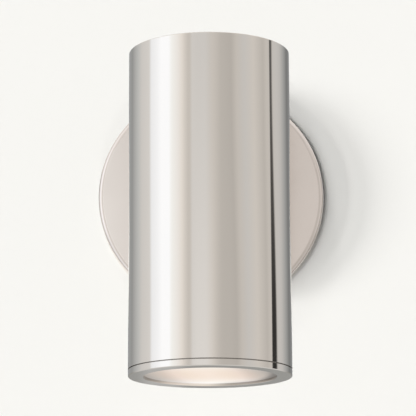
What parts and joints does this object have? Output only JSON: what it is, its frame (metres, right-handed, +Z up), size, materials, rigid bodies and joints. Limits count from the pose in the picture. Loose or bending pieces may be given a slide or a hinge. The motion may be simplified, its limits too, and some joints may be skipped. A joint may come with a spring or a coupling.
{
  "type": "tube wall light",
  "caption": "Polished nickel tube wall light: a closed cylinder on a round backplate, with a frosted lens in a screw-in ring at its lower end.",
  "frame": {"origin": "the middle of the backplate in the plane of the wall, midway between the crossbar's two slots", "axes": "+Z up along the cylinder, +Y into the wall, +X to the right of someone who faces the light"},
  "size_m": [0.1308, 0.1244, 0.1827],
  "materials": {
    "nickel": "polished",
    "plated_steel": "satin",
    "green_screw": "gloss",
    "tinned_copper": "satin",
    "bushing_plastic": "matte",
    "holder_ceramic": "matte",
    "live_insulation": "satin",
    "neutral_insulation": "satin",
    "ground_insulation": "satin",
    "lamp_shell": "satin",
    "lamp_base_plastic": "satin",
    "pin_metal": "polished",
    "lamp_window_plastic": "frosted",
    "frosted_glass": "frosted",
    "silicone": "matte",
    "spring_steel": "satin"
  },
  "bodies": {
    "fixture": {"wall_plate": "nickel", "crossbar": "plated_steel", "rim_screws": "nickel", "ground_screw": "green_screw", "ground_terminals": "tinned_copper", "stem": "nickel", "nipple": "plated_steel", "nipple_bushings": "bushing_plastic", "nipple_washers": "plated_steel", "nipple_nuts": "plated_steel", "inner_saddle": "plated_steel", "tube": "nickel", "top_cap": "nickel", "lamp_bracket": "plated_steel", "bracket_screw": "plated_steel", "bracket_nut": "plated_steel", "lampholder_body": "holder_ceramic", "lampholder_contacts": "tinned_copper", "lampholder_screws": "plated_steel", "lampholder_nuts": "plated_steel", "live_lead": "live_insulation", "neutral_lead": "neutral_insulation", "ground_lead": "ground_insulation"},
    "lamp": {"lamp_body": "lamp_shell", "lamp_window": "lamp_window_plastic", "lamp_base": "lamp_base_plastic", "lamp_pins": "pin_metal"},
    "lens_carrier": {"lens": "frosted_glass", "lens_gasket": "silicone"},
    "ring": {"trim_ring": "nickel", "snap_ring": "spring_steel"}
  },
  "joints": [
    {"name": "lens_drop", "type": "slide", "parent": "fixture", "child": "lens_carrier", "axis": [0, 0, -1], "range_m": [0, 0.0076]},
    {"name": "ring_turn", "type": "hinge", "parent": "lens_carrier", "child": "ring", "pos_m": [0, -0.08, -0.1153], "axis": [0, 0, -1], "range_deg": [0, 1800]},
    {"name": "lamp_twist", "type": "hinge", "parent": "fixture", "child": "lamp", "pos_m": [0, -0.08, -0.052], "axis": [0, 0, -1], "range_deg": [0, 45]}
  ],
  "couplings": [
    {"joint": "lens_drop", "follows": "ring_turn", "m_per_rad": 0.00023873}
  ]
}
